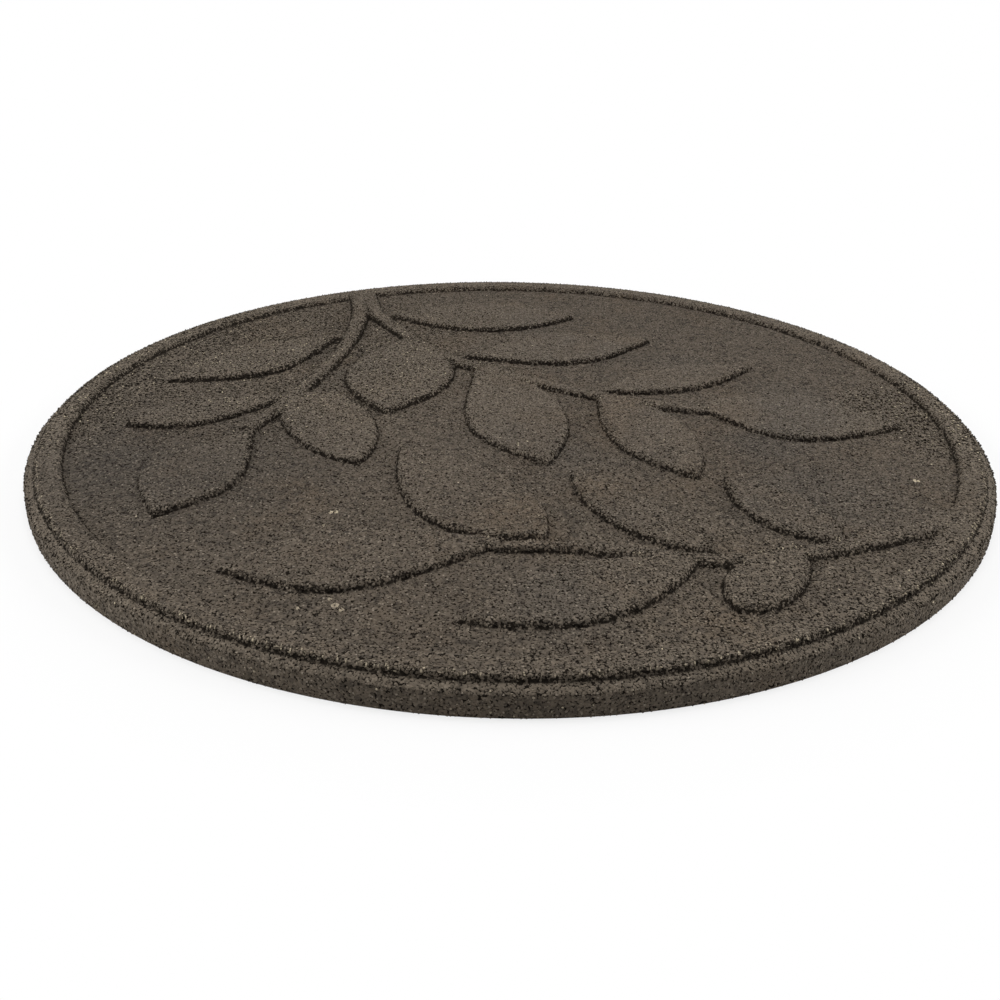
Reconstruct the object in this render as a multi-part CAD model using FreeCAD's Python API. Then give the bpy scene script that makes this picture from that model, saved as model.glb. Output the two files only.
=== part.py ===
"""Round garden stepping stone of moulded crumb rubber, with two raised leaf sprigs.

It is one moulding: a flat disc with a sloping shoulder, a raised rim, a sunken
field, and sprigs that stand up from the field to the level of the rim.
The origin is the centre of the underside, Z is up, and +Y is away from the viewer.
Millimetres.
"""
import FreeCAD, Part
import math
import os

from FreeCAD import Vector

# Disc
overall_diameter = 450.0     # across the outer wall
thickness = 13.0             # from the underside to the top of the rim
base_bevel = 1.2             # the bevelled bottom edge
wall_draft = 0.6             # how far the outer wall leans in, for release from the mould

# Shoulder and rim
shoulder_width = 5.0         # the sloping band outside the rim
shoulder_fall = 2.2          # how far that band falls towards the wall
rim_step = 2.7               # from the shoulder up to the top of the rim
rim_width = 10.5             # at the level of the field
rim_lean = 0.6               # how far each side of the rim leans in
edge_bevel = 0.8             # the broken top edges of the rim, the leaves and the stems

# Sprigs
relief_height = 2.9          # from the field up to the top of the rim and of the leaves
leaf_lean = 0.6              # how far a leaf's or stem's side leans in up to its broken edge
stem_root_width = 12.0       # where a stem leaves the rim
stem_end_width = 8.0         # where a stem runs into its last leaf
drawn_radius = 210.0         # radius of the field that the places below are drawn for
rooting = 2.0                # how deep a sprig's solid reaches into the disc

radius = overall_diameter / 2
rim_outer = radius - shoulder_width
field_radius = rim_outer - rim_width
rim_middle = rim_outer - rim_width / 2
field_level = thickness - relief_height
shoulder_level = thickness - rim_step
wall_level = shoulder_level - shoulder_fall
sprig_scale = field_radius / drawn_radius

# Leaves: base, tip, and the greatest half widths to the left and to the right, looking
# from the base to the tip. The neck says how slowly a leaf widens from its base: it is
# the share of the length at which the side's curve stands out in full
leaves = [
    # right branch of the upper sprig, outer side, then its end leaf, then inner side
    dict(base=(-76, 140), tip=(41, 143), left=27, right=27, neck=0.20),
    dict(base=(-27, 66), tip=(83, 101), left=26, right=26, neck=0.30),
    dict(base=(46, 16), tip=(135, 59), left=18, right=18, neck=0.18),
    dict(base=(88, 0), tip=(190, -22), left=30, right=27, neck=0.38),
    dict(base=(-59, 103), tip=(-60, -14), left=31, right=29, neck=0.32),
    dict(base=(-17, 52), tip=(17, -70), left=30, right=20, neck=0.24),
    dict(base=(46, 15), tip=(83, -81), left=22, right=20, neck=0.14),
    # left branch of the upper sprig
    dict(base=(-96, 97), tip=(-179, 24), left=24, right=24, neck=0.50),
    dict(base=(-112, 4), tip=(-182, -33), left=14, right=14, neck=0.26),
    dict(base=(-121, -33), tip=(-137, -122), left=16, right=26, neck=0.30),
    dict(base=(-104, 10), tip=(-66, -71), left=21, right=20, neck=0.18),
    # lower sprig, from the bud by its root
    dict(base=(98, -138), tip=(84, -181), left=16, right=14, neck=0.10),
    dict(base=(72, -145), tip=(-15, -189), left=20, right=20, neck=0.36),
    dict(base=(2, -136), tip=(-105, -160), left=20, right=20, neck=0.48),
    dict(base=(16, -137), tip=(-49, -51), left=27, right=19, neck=0.18),
    dict(base=(78, -143), tip=(27, -77), left=14, right=14, neck=0.24),
    dict(base=(128, -135), tip=(91, -77), left=14, right=14, neck=0.18),
]
tip_inset = 1.5              # a tip draws in by this many insets, since its sides meet at a point
leaf_taper = 0.70            # where a side turns in to the tip, as a share of the length

# Stems: the bearing of the root on the rim in degrees from +X, then the line to the last leaf
stems = [
    (118.5, [(-95, 138), (-94, 104), (-99, 55), (-107, 16), (-123, -38)]),
    (117.0, [(-85, 147), (-62, 104), (-26, 58), (20, 27), (56, 8), (98, -4)]),
    (-29.5, [(147, -128), (112, -141), (76, -145), (36, -140), (-8, -139)]),
]


def at(x, y, z=0.0):
    """A place in the field's drawing, brought to the size of the field."""
    return Vector(x * sprig_scale, y * sprig_scale, z)


def disc_profile():
    """Half section of the disc, from the axis out, up the wall and over the rim."""
    section = [
        (0.0, 0.0),
        (radius - base_bevel, 0.0),
        (radius, base_bevel),
        (radius - wall_draft, wall_level),
        (rim_outer, shoulder_level),
        (rim_outer - rim_lean, thickness - edge_bevel),
        (rim_outer - rim_lean - edge_bevel, thickness),
        (field_radius + rim_lean + edge_bevel, thickness),
        (field_radius + rim_lean, thickness - edge_bevel),
        (field_radius, field_level),
        (0.0, field_level),
        (0.0, 0.0),
    ]
    return Part.Face(Part.makePolygon([Vector(r, 0, z) for r, z in section]))


def disc():
    """The disc turned from its half section."""
    return disc_profile().revolve(Vector(0, 0, 0), Vector(0, 0, 1), 360)


def leaf_wire(leaf, inset, z):
    """A pointed leaf of two cubic curves, drawn in by an inset all round."""
    start, end = at(*leaf["base"], z), at(*leaf["tip"], z)
    along = end - start
    length = along.Length
    along.normalize()
    across = Vector(-along.y, along.x, 0)
    start = start + along * inset
    end = end - along * inset * tip_inset
    sides = []
    for half_width in (leaf["left"], -leaf["right"]):
        # the two inner points of a cubic curve stand 4/3 of its height out
        height = half_width * sprig_scale
        bulge = across * (height - math.copysign(inset, height)) * 4 / 3
        near_base = start + along * length * leaf["neck"] + bulge
        near_tip = start + along * length * leaf_taper + bulge
        curve = Part.BezierCurve()
        curve.setPoles([start, near_base, near_tip, end])
        sides.append(curve.toShape())
    return Part.Wire(sides)


def stem_wire(stem, inset, z):
    """A stem that narrows from its root on the rim to its last leaf, drawn in by an inset."""
    bearing, drawn = stem
    angle = math.radians(bearing)
    root = Vector(rim_middle * math.cos(angle), rim_middle * math.sin(angle), z)
    line = [root] + [at(x, y, z) for x, y in drawn]
    left, right = [], []
    for i, point in enumerate(line):
        along = line[min(i + 1, len(line) - 1)] - line[max(i - 1, 0)]
        along.normalize()
        across = Vector(-along.y, along.x, 0)
        share = i / (len(line) - 1)
        half = (stem_root_width + (stem_end_width - stem_root_width) * share) / 2 - inset
        left.append(point + across * half)
        right.append(point - across * half)
    left_side, right_side = Part.BSplineCurve(), Part.BSplineCurve()
    left_side.interpolate(left)
    right_side.interpolate(right)
    return Part.Wire([
        left_side.toShape(),
        Part.LineSegment(left[-1], right[-1]).toShape(),
        right_side.toShape(),
        Part.LineSegment(right[0], left[0]).toShape(),
    ])


def raised(outline, shape):
    """A leaf or stem: rooted in the disc, sides leaning in, and a broken top edge."""
    sections = [
        outline(shape, 0.0, field_level - rooting),
        outline(shape, 0.0, field_level),
        outline(shape, leaf_lean, thickness - edge_bevel),
        outline(shape, leaf_lean + edge_bevel, thickness),
    ]
    return Part.makeLoft(sections, True, True)


def stepping_stone():
    """The whole moulding as one solid."""
    sprigs = [raised(leaf_wire, leaf) for leaf in leaves]
    sprigs += [raised(stem_wire, stem) for stem in stems]
    return disc().fuse(sprigs).removeSplitter()


def main():
    os.makedirs("parts", exist_ok=True)
    stone = stepping_stone()
    solids = stone.Solids
    box = stone.BoundBox
    print("solids", len(solids), "valid", stone.isValid(), "volume cm3", round(stone.Volume / 1000, 1))
    print("size", round(box.XLength, 2), round(box.YLength, 2), round(box.ZLength, 2))
    solids[0].exportStep("parts/stepping_stone.step")


main()
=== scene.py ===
# %% [markdown]
# A garden stepping stone of moulded crumb rubber.
# Ground-up tyre rubber is mixed with a binder and pressed hot in a round mould. The mould
# leaves a flat, closed face where it presses straight down, and a torn, open one where the
# rubber has to slide along a wall. So the flats show granules pressed level with small
# pits between them, and every step, crest and side shows loose crumb and dark gaps.
# This lesson dresses the solid of the stone: a skin with the relief and the ragged edges,
# loose crumb on top of it, one material for both, and plain studio light.

# %% Load the solid that the looks are built around
import math
import bpy
import numpy as np
from mathutils import Matrix, Vector


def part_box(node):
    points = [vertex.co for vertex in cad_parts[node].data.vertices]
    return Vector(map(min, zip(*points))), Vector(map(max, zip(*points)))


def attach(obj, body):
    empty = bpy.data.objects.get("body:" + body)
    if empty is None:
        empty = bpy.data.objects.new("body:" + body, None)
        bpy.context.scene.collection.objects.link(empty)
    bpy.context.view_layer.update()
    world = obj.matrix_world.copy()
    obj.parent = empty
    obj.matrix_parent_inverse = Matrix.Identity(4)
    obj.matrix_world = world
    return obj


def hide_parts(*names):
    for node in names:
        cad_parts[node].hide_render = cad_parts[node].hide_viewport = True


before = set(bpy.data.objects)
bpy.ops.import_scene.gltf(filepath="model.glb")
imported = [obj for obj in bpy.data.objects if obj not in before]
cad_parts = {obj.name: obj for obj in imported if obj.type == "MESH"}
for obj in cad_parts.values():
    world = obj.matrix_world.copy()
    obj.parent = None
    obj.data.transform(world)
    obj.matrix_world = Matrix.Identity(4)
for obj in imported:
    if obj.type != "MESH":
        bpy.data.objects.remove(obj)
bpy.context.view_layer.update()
NODE = "stepping_stone"

# %% [markdown]
# Everything below is in millimetres, as the mould's drawing is, and becomes metres only
# when a mesh is written. The overall size is read from the solid. The steps between wall,
# shoulder, rim and field are the drawing's own.

# %% Sizes of the disc, in millimetres
MM = 0.001
low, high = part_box(NODE)
radius = (high.x - low.x) / 2 / MM
thickness = (high.z - low.z) / MM

shoulder_width, shoulder_fall = 5.0, 2.2
rim_step, rim_width = 2.7, 10.5
relief_height = 2.9
wall_draft = 0.6
side_width = 1.7             # a leaf's side rises over this width, steep at the foot and worn round
step_width = 1.2             # the outer step is steeper
rim_flank = 4.0              # the rim's inner side is this wide at the far side of the stone
rim_inset = 0.8              # and its foot lies this far inside the drawn edge
far_inset = 1.7              # and this much further in at the far side
proud = 0.40                 # crumb stands up to this far above the skin, so the skin starts lower
top_margin = 0.02            # the skin stays this far under the solid's top
wall_margin = 0.05           # and this far inside its wall

rim_outer = radius - shoulder_width
rim_middle = rim_outer - rim_width / 2
field_radius = rim_outer - rim_width
top_level = thickness - proud
field_level = thickness - relief_height
shoulder_level = thickness - rim_step
wall_level = shoulder_level - shoulder_fall
print("radius", round(radius, 1), "field", round(field_radius, 1), "levels", field_level, top_level)

# %% [markdown]
# The sprigs are the drawing's. Each leaf is two cubic curves between a base and a tip. Its
# neck and taper are shares of its length, near the base and near the tip, at which the
# curves are held out. A curve is worked out as one array of points, which is all that the
# relief needs, because it only asks how far away an outline is.

# %% Leaves as drawn
LEAVES = [  # base, tip, half widths to the left and right of the way to the tip, neck, taper
    ((-75, 141), (39, 145), 27, 27, 0.35, 0.69),
    ((-27, 68), (82, 102), 26, 25, 0.49, 0.57),
    ((46, 18), (134, 60), 18, 15, 0.42, 0.56),
    ((93, 2), (189, -21), 30, 28, 0.41, 0.52),
    ((-57, 103), (-61, -13), 29, 29, 0.40, 0.70),
    ((-19, 51), (17, -68), 27.5, 23, (0.30, 0.62), 0.68),
    ((45, 15), (82, -79), 22, 18, (0.25, 0.49), 0.68),
    ((-102, 98), (-179, 24), 25, 24, 0.51, 0.59),
    ((-113, 5), (-182, -33), 15, 14, 0.51, 0.72),
    ((-120, -34), (-140, -121), 18, 25, 0.66, 0.61),
    ((-105, 10), (-66, -70), 22, 20, 0.05, 0.76),
    ((112, -137), (79, -180), 12, 14, 0.31, 0.87),
    ((73, -145), (-16, -189), 20, 15, 0.38, 0.66),
    ((1, -135), (-104, -160), 22, 20, 0.60, 0.65),
    ((15, -132), (-49, -52), 29, 19, 0.21, 0.57),
    ((78, -141), (27, -77), 16, 9, 0.21, 0.71),
    ((128, -132), (93, -78), 15, 14, 0.18, 0.69),
]


def leaf_outline(base, tip, left, right, neck, taper, steps=48):
    """Closed outline of a pointed leaf.

    Each side is a cubic Bezier curve (1-t)^3 A + 3(1-t)^2 t B + 3(1-t)t^2 C + t^3 D from
    the base A to the tip D. B and C lie at the shares neck and taper of the way from A to D
    and 4/3 of the half width out, because the curve's middle comes 3/4 of the way to them.
    A pair of necks is for the left and the right side.
    """
    start, end = np.array(base, float), np.array(tip, float)
    along = end - start
    across = np.array([-along[1], along[0]]) / np.hypot(*along)
    t = np.linspace(0, 1, steps)[:, None]
    sides = []
    for half_width, widens in zip((left, -right), np.broadcast_to(neck, 2)):
        bulge = across * half_width * 4 / 3
        near_base, near_tip = start + along * widens + bulge, start + along * taper + bulge
        sides.append((1 - t) ** 3 * start + 3 * (1 - t) ** 2 * t * near_base
                     + 3 * (1 - t) * t ** 2 * near_tip + t ** 3 * end)
    return np.vstack([sides[0][:-1], sides[1][::-1][:-1]])


leaf_outlines = [leaf_outline(*leaf) for leaf in LEAVES]
print("leaves", len(leaf_outlines), "of", len(leaf_outlines[0]), "points each")

# %% [markdown]
# A stem is one smooth line that narrows from its root on the rim to its last leaf. The line
# is a natural cubic spline, which is the shape a thin batten takes when it is pinned at a
# few points. The outline lies half the stem's width to each side of it.

# %% Stems as drawn
STEMS = [  # bearing of the root on the rim, width at the end, then the line to the last leaf
    (118.5, 8.0, [(-95, 138), (-94, 104), (-99, 55), (-107, 16), (-123, -38)]),
    (117.0, 8.0, [(-85, 147), (-62, 104), (-26, 58), (20, 27), (56, 8), (98, -4)]),
    (-29.5, 5.6, [(147, -128), (112, -141), (76, -147), (36, -141), (-8, -140)]),
]
STEM_ROOT = 12.0             # the width at the root
STEM_FALL = 0.6              # a power under 1, with which a stem narrows most near its root


def batten(points, steps):
    """Natural cubic spline through points, over the length of the chords between them.

    The second derivatives M solve h0 M0 + 2(h0+h1) M1 + h1 M2 = 6 (slope1 - slope0), with
    none at the two ends.
    """
    points = np.array(points, float)
    knots = np.concatenate([[0], np.cumsum(np.hypot(*np.diff(points, axis=0).T))])
    h = np.diff(knots)
    slope = np.diff(points, axis=0) / h[:, None]
    system = np.diag(np.r_[1, 2 * (h[:-1] + h[1:]), 1])
    system += np.diag(np.r_[0, h[1:]], 1) + np.diag(np.r_[h[:-1], 0], -1)
    pull = np.vstack([np.zeros(2), 6 * np.diff(slope, axis=0), np.zeros(2)])
    bend = np.linalg.solve(system, pull)
    at = np.linspace(0, knots[-1], steps)
    i = np.clip(np.searchsorted(knots, at, side="right") - 1, 0, len(h) - 1)
    a, b, step = (knots[i + 1] - at)[:, None], (at - knots[i])[:, None], h[i][:, None]
    return (bend[i] * a ** 3 + bend[i + 1] * b ** 3) / (6 * step) \
        + (points[i] / step - bend[i] * step / 6) * a \
        + (points[i + 1] / step - bend[i + 1] * step / 6) * b


def stem_outline(bearing, end_width, line, steps=120):
    """Closed outline of a stem: its smooth middle line, moved out by half its width each way.

    The width is STEM_ROOT plus the change to the end's, times the share of the way to the
    power STEM_FALL.
    """
    angle = math.radians(bearing)
    root = rim_middle * np.array([math.cos(angle), math.sin(angle)])
    middle = batten(np.vstack([root, line]), steps)
    along = np.gradient(middle, axis=0)
    across = np.stack([-along[:, 1], along[:, 0]], 1) / np.hypot(*along.T)[:, None]
    share = np.linspace(0, 1, steps)[:, None] ** STEM_FALL
    half = (STEM_ROOT + (end_width - STEM_ROOT) * share) / 2
    return np.vstack([middle + across * half, (middle - across * half)[::-1]])


outlines = leaf_outlines + [stem_outline(*stem) for stem in STEMS]
print("outlines", len(outlines), "of", sum(len(o) for o in outlines), "points")

# %% [markdown]
# The relief is one field of distances. For a point on the face it says how far the nearest
# raised edge is: positive out on the sunken field, negative on a leaf, a stem or the rim.
# One profile over that distance then raises all of them alike, so where a stem runs into a
# leaf or the rim the two simply grow together, as they do in the mould.

# %% Distance to the nearest raised edge
REACH = 8.0                  # distances past this need not be right, in millimetres
CHUNK = 2000                 # points worked out at a time, which keeps the arrays small
FLANK_FULL = 0.45            # the rim's flank has its full width where y / r is over this
FLANK_FADE = 0.35            # and narrows to side_width while y / r falls by this much


def distance_to(outline, points):
    """Signed distance to a closed outline and the way straight out of it, for many points.

    The nearest place on each straight piece is A + t (B - A) with t held to 0..1. A point is
    inside where a ray from it crosses the outline an odd number of times.
    """
    a, b = outline, np.roll(outline, -1, axis=0)
    edge = b - a
    rel = points[:, None] - a
    t = np.clip((rel * edge).sum(2) / (edge ** 2).sum(1), 0, 1)
    gap = rel - t[..., None] * edge
    square = (gap ** 2).sum(2)
    best = square.argmin(1)
    each = np.arange(len(points))
    far = np.sqrt(square[each, best])
    y, x = points[:, 1:2], points[:, 0:1]
    crosses = (a[:, 1] > y) != (b[:, 1] > y)
    rise = np.where(np.abs(edge[:, 1]) < 1e-12, 1e-12, edge[:, 1])
    left_of = x < a[:, 0] + (y - a[:, 1]) / rise * edge[:, 0]
    inside = (crosses & left_of).sum(1) % 2 == 1
    sign = np.where(inside, -1.0, 1.0)
    out = gap[each, best] / np.maximum(far, 1e-9)[:, None] * sign[:, None]
    return far * sign, out


def relief_distance(points):
    """Signed distance to the nearest raised edge: the least of those to rim, leaves and stems.

    The rim's foot lies at field_radius - rim_inset - far_inset (y / r)^2, the last part only
    towards +Y. Its distance is shrunk by side_width over its flank, which makes that side as
    wide as the flank.
    """
    r = np.maximum(np.hypot(*points.T), 1e-9)
    inset = rim_inset + far_inset * np.clip(points[:, 1] / r, 0, 1) ** 2
    narrow = np.clip((FLANK_FULL - points[:, 1] / r) / FLANK_FADE, 0, 1)
    flank = rim_flank + (side_width - rim_flank) * narrow
    near = (field_radius - inset - r) * side_width / flank
    out = -points / r[:, None]
    for outline in outlines:
        lowest, highest = outline.min(0) - REACH, outline.max(0) + REACH
        close = np.flatnonzero(((points > lowest) & (points < highest)).all(1))
        for part in np.array_split(close, max(1, len(close) // CHUNK)):
            if len(part) == 0:
                continue
            s, way = distance_to(outline, points[part])
            nearer = s < near[part]
            near[part[nearer]] = s[nearer]
            out[part[nearer]] = way[nearer]
    return near, out


middle_distance, _ = relief_distance(np.zeros((1, 2)))
print("the stone's middle lies", round(float(middle_distance[0]), 1), "mm from a raised edge")

# %% [markdown]
# Crumb is random but even, so all the roughness comes from one kind of noise: random values
# on a square lattice, blended smoothly in between. Its cell is the size of a granule or of a
# larger patch. The same call with the same seed gives the same stone each time.

# %% Noise
LATTICE = 512                # values along each side of the table, after which it repeats


def lattice_noise(x, y, cell, seed):
    """Smooth random values from -1 to 1 over a lattice of square cells.

    The four lattice values round a point are blended by 3f^2 - 2f^3 of its place in the cell.
    """
    table = np.random.default_rng(seed).uniform(-1, 1, (LATTICE, LATTICE))
    u, v = np.asarray(x) / cell, np.asarray(y) / cell
    i, j = np.floor(u).astype(int), np.floor(v).astype(int)
    fu, fv = u - i, v - j
    fu, fv = fu * fu * (3 - 2 * fu), fv * fv * (3 - 2 * fv)

    def value(p, q):
        return table[p % LATTICE, q % LATTICE]

    near = value(i, j) * (1 - fu) + value(i + 1, j) * fu
    far = value(i, j + 1) * (1 - fu) + value(i + 1, j + 1) * fu
    return near * (1 - fv) + far * fv


def noises(x, y, layers):
    """Sum of noises, each given as its strength, its cell in millimetres and its seed."""
    return sum(strength * lattice_noise(x, y, cell, seed) for strength, cell, seed in layers)


TEARS = ((0.36, 1.3, 11), (0.24, 3.1, 12))       # these shake the edges in and out
SWELLS = ((0.060, 26.0, 14), (0.036, 9.0, 15))   # and these the flats up and down
sample = noises(np.arange(1000.0), np.zeros(1000), TEARS)
print("edges wander from", round(sample.min(), 2), "to", round(sample.max(), 2), "mm")

# %% [markdown]
# The face is a grid of squares bent into a disc: the square rings of the grid become round
# ones. There is no pole in the middle, every cell stays about as large as the next, and the
# outermost ring is a true circle that the rim and wall can be built on.
# The grid is then drawn together near each raised edge, so that a side 3 mm high and under
# 2 mm wide gets several rows of points, while the flats, which need few, give them up.

# %% The face as a grid of points
RINGS = 124                  # square rings from the centre to the middle of the rim
CROWD = 0.66                 # how strongly points are drawn to an edge, from 0 to 1
CROWD_REACH = 2.6            # over this distance, in millimetres
CROWD_MIDDLE = side_width / 3    # and to this far inward from the foot, where a side is steep


def disc_grid(rings, outer):
    """A square grid of (2 rings + 1)^2 points bent into a disc.

    With a and b from -1 to 1 across the square, the larger of the two is the radius, and the
    smaller over the larger, times an eighth of a turn, is the angle within its quarter.
    """
    a, b = np.meshgrid(np.linspace(-1, 1, 2 * rings + 1), np.linspace(-1, 1, 2 * rings + 1))
    wide = np.abs(a) > np.abs(b)
    big = np.where(wide, a, b)
    small = np.where(wide, b, a)
    share = small / np.where(big == 0, 1, big)
    angle = np.where(wide, math.pi / 4 * share, math.pi / 2 - math.pi / 4 * share)
    return np.stack([big * np.cos(angle), big * np.sin(angle)], -1) * outer


def drawn_to_edges(points):
    """Points moved straight towards the steep part of the nearest raised side.

    Seen from there, a distance t becomes t (1 - CROWD e^(-(t / CROWD_REACH)^2)): close
    points crowd in and far ones stay, and none passes another.
    """
    s, out = relief_distance(points)
    t = s + CROWD_MIDDLE
    moved = -t * CROWD * np.exp(-(t / CROWD_REACH) ** 2)
    return points + out * moved[:, None]


grid = disc_grid(RINGS, rim_middle)
side = grid.shape[0]
flat = grid.reshape(-1, 2)
on_border = np.zeros((side, side), bool)
on_border[[0, -1]] = on_border[:, [0, -1]] = True
on_border = on_border.ravel()
face = np.where(on_border[:, None], flat, drawn_to_edges(flat))
print("face points", len(face), "spacing", round(rim_middle / RINGS, 2), "mm")

# %% [markdown]
# Height over that grid: the sunken field, then the side of a leaf, stem or rim with its
# worn edge, then the flat top. The distance is shaken by noise first, which makes the
# edges wander in and out like torn crumb, and the heights are shaken a little more on the
# sides than on the pressed flats.

# %% Height of the face
FIELD_SINK = 0.05            # the skin of the field starts this much lower, under its crumb
GRAIN, SIDE_GRAIN = 0.07, 0.16   # roughness everywhere, and added to it on the sides


def raised_share(inward):
    """Share of the relief at a distance inward from the foot of a side.

    A quarter of an ellipse: sqrt(1 - (1 - t)^2), with t the share of side_width.
    """
    t = np.clip(inward / side_width, 0, 1)
    return np.sqrt(1 - (1 - t) ** 2)


def face_height(points):
    """Height of the face, and the torn distance to the nearest raised edge that it is made from.

    The height is that of the field plus raised_share of the way up to the top, plus grain,
    which is strongest 0.7 mm inward from the foot, and the swell of the flats.
    """
    x, y = points.T
    s, _ = relief_distance(points)
    s = s + noises(x, y, TEARS)
    grain = lattice_noise(x, y, 1.4, 13) * (GRAIN + SIDE_GRAIN * np.exp(-((s + 0.7) / 1.2) ** 2))
    bottom = field_level - FIELD_SINK
    level = bottom + (top_level - bottom) * raised_share(-s)
    return level + grain + noises(x, y, SWELLS), np.clip(s, -REACH, REACH)


face_z, face_from_edge = face_height(face)
face_z = np.minimum(face_z, thickness - top_margin)
print("face from", round(face_z.min(), 2), "to", round(face_z.max(), 2), "mm")

# %% [markdown]
# Outside the middle of the rim nothing but the section matters: rim top, step, shoulder,
# wall, underside. Its corner points are walked in short steps, and the section is carried
# round in as many places as the face's last ring has points, so the two join point to point.
# Each ring is then shaken in and out and up and down by its own roughness, mostly inwards,
# because torn crumb leaves hollows and no bumps.

# %% The section from the rim to the underside
SECTION = [  # radius, height, steps to get there, roughness there, distance from the foot of a step
    (rim_middle, top_level, 0, 0.10, -rim_width / 2),
    (rim_outer - step_width, top_level, 3, 0.10, -step_width),
]
for turn in (68, 46, 26, 10):    # the outer step is a quarter of an ellipse, in these degrees
    bow = math.radians(turn)
    rise = (top_level - shoulder_level) * math.sin(bow)
    inward = step_width * (1 - math.cos(bow))
    SECTION.append((rim_outer - inward, shoulder_level + rise, 1, 0.22, 0.45 - inward))
SECTION += [
    (rim_outer + 0.1, shoulder_level, 1, 0.10, 0.4),
    (rim_outer + 0.8, shoulder_level - 0.3, 1, 0.12, 1.1),
    (radius - 1.4, wall_level + 0.6, 3, 0.10, 4.0),
    (radius - wall_draft - 0.15, wall_level - 0.25, 1, 0.16, REACH),
    (radius - 0.25, 1.2, 6, 0.12, REACH),
    (radius - 0.25, 0.4, 1, 0.16, REACH),
    (radius - 0.4, 0.0, 1, 0.0, REACH),
]
UNDERSIDE = [216.0, 196.0, 166.0, 130.0, 92.0, 56.0, 24.0]   # radii of the rings under the stone


def walked(section):
    """The section with even steps between its corners: a + (b - a) k / steps for each value."""
    walk = [np.delete(section[0], 2)]
    for one, other in zip(section, section[1:]):
        share = np.arange(1, other[2] + 1)[:, None] / other[2]
        a, b = np.delete(one, 2), np.delete(other, 2)
        walk.extend(a + (b - a) * share)
    return np.array(walk)


rows = walked(SECTION)
places = 8 * RINGS
angle = np.arange(places) * 2 * math.pi / places
along_section = np.concatenate([[0], np.cumsum(np.hypot(*np.diff(rows[:, :2], axis=0).T))])
arc, run = np.meshgrid(angle * radius, along_section)
rough = rows[:, 2][:, None]
shake_out = noises(arc, run, ((0.8, 1.5, 21), (0.2, 4.0, 22))) - 0.6
shake_up = noises(arc, run, ((0.8, 1.5, 23),))
ring_r = np.minimum(rows[:, 0][:, None] + rough * shake_out, radius - wall_margin)
ring_z = rows[:, 1][:, None] + rough * shake_up
ring_z[-1] = 0.0
ring_z = np.clip(ring_z, 0.0, thickness - top_margin)
print("section rows", len(rows), "places round", places)

# %% [markdown]
# A mesh is written from arrays: the points as rows of three numbers, and the faces as rows
# of point numbers. A mesh can also carry a value for each point, here how far the nearest
# edge is and how pale the crumb is, so that the material can follow the relief.

# %% Meshes from arrays
def squares_between(inner, outer):
    """Four-sided faces between two rings of equally many points."""
    return np.stack([inner, outer, np.roll(outer, -1), np.roll(inner, -1)], 1)


def new_mesh(name, points_mm, faces):
    """A mesh object from points in millimetres and lists of faces, each an array of numbers."""
    mesh = bpy.data.meshes.new(name)
    mesh.from_pydata(points_mm * MM, [], [f for part in faces for f in part.tolist()])
    mesh.update()
    piece = bpy.data.objects.new(name, mesh)
    bpy.context.scene.collection.objects.link(piece)
    return piece


def add_value(piece, name, values):
    """A number for each point, which a material can read by name."""
    layer = piece.data.attributes.new(name, "FLOAT", "POINT")
    layer.data.foreach_set("value", np.asarray(values, np.float32).ravel())


print("faces between two rings", len(squares_between(np.arange(places), np.arange(places))))

# %% [markdown]
# The crumb isn't pressed equally hard everywhere. In a few wide areas, most of them near
# the wall, it stayed open and rough, and open crumb looks paler and scuffed. The
# sunken field is darker than the tops. The tops and the rim are paler towards the far side
# of the stone, which is a painted sheen, and the step, the shoulder and the wall, most on its
# left and right and higher up, are painted paler as painted light. All of these are worked
# out here as values for a point, not painted into a picture, so that the skin and the loose
# crumb on it agree.

# %% Open areas, tone and painted light
OPEN_AREAS = [  # middle, reach, fade and strength: where the crumb was pressed less and stayed open
    ((-120, 70), 80, 80, 1.0),
    ((110, -190), 45, 70, 0.6),
    ((-226, 0), 35, 60, 1.3),
    ((226, 0), 35, 40, 1.3),
    ((-185, 120), 40, 50, 1.2),
]
OPEN_WANDER = ((16.0, 22.0, 16), (8.0, 7.0, 17))   # noises that make their outlines wander
FIELD_DARKENING, OPEN_PALE = 0.22, 0.60   # how much darker the field and paler the open crumb is
# painted light: the step and the shoulder are painted paler
STEP_PAINTED_LIGHT, SHOULDER_PAINTED_LIGHT = 0.75, 0.70


def ramp(value, start, length):
    """0 up to a start, 1 from a length past it, and a straight rise in between."""
    return np.clip((value - start) / length, 0, 1)


def openness(points):
    """How open the crumb stayed: an area's strength within its reach, 0 past its fade."""
    x, y = points[:, 0], points[:, 1]
    wander = noises(x, y, OPEN_WANDER)
    most = np.zeros(len(points))
    for (mid_x, mid_y), reach, fade, strength in OPEN_AREAS:
        away = np.hypot(x - mid_x, y - mid_y) + wander
        most = np.maximum(most, strength * np.clip((reach + fade - away) / fade, 0, 1))
    return most


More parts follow.
